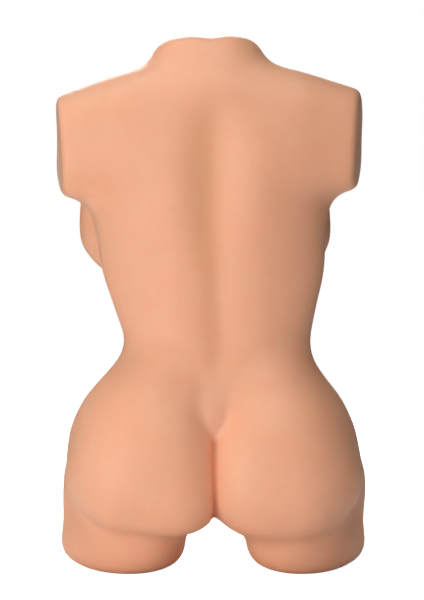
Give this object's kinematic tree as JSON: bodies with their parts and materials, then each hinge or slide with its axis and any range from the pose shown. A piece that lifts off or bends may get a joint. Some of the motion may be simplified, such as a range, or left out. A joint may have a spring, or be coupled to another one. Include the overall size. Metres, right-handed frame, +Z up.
{
  "type": "torso mannequin",
  "caption": "Headless, armless soft-skinned torso mannequin that stands on its two short thigh ends, with a foam core and a bolted tube frame inside.",
  "frame": {"origin": "on the ground, centred under the whole object, between the two flat thigh ends", "axes": "+Z up to the neck, +Y the way the mannequin faces, +X its right-hand side; the view of the back looks along +Y"},
  "size_m": [0.4276, 0.322, 0.716],
  "materials": {
    "skin": "satin soft elastomer, skin tone",
    "core_foam": "open-cell look of cut polyurethane foam",
    "end_plate": "birch plywood, bare",
    "dowel": "beech, bare",
    "tube_steel": "drawn steel tube, zinc plated",
    "fitting": "galvanised casting",
    "screw": "yellow zinc plated",
    "set_screw": "black oxide"
  },
  "bodies": {
    "root": {"torso_skin": "skin", "foam_core_front": "core_foam", "foam_core_back": "core_foam", "neck_plate": "end_plate", "arm_plate_left": "end_plate", "arm_plate_right": "end_plate", "thigh_plate_left": "end_plate", "thigh_plate_right": "end_plate", "core_dowels": "dowel", "spine_tube": "tube_steel", "shoulder_tube_left": "tube_steel", "shoulder_tube_right": "tube_steel", "hip_tube_left": "tube_steel", "hip_tube_right": "tube_steel", "thigh_tube_left": "tube_steel", "thigh_tube_right": "tube_steel", "shoulder_cross": "fitting", "hip_tee": "fitting", "hip_elbow_left": "fitting", "hip_elbow_right": "fitting", "neck_flange": "fitting", "arm_flange_left": "fitting", "arm_flange_right": "fitting", "thigh_flange_left": "fitting", "thigh_flange_right": "fitting", "neck_plate_screws": "screw", "arm_plate_screws_left": "screw", "arm_plate_screws_right": "screw", "thigh_plate_screws_left": "screw", "thigh_plate_screws_right": "screw", "shoulder_cross_set_screws": "set_screw", "hip_tee_set_screws": "set_screw", "hip_elbow_set_screws": "set_screw", "flange_set_screws": "set_screw"}
  },
  "joints": []
}
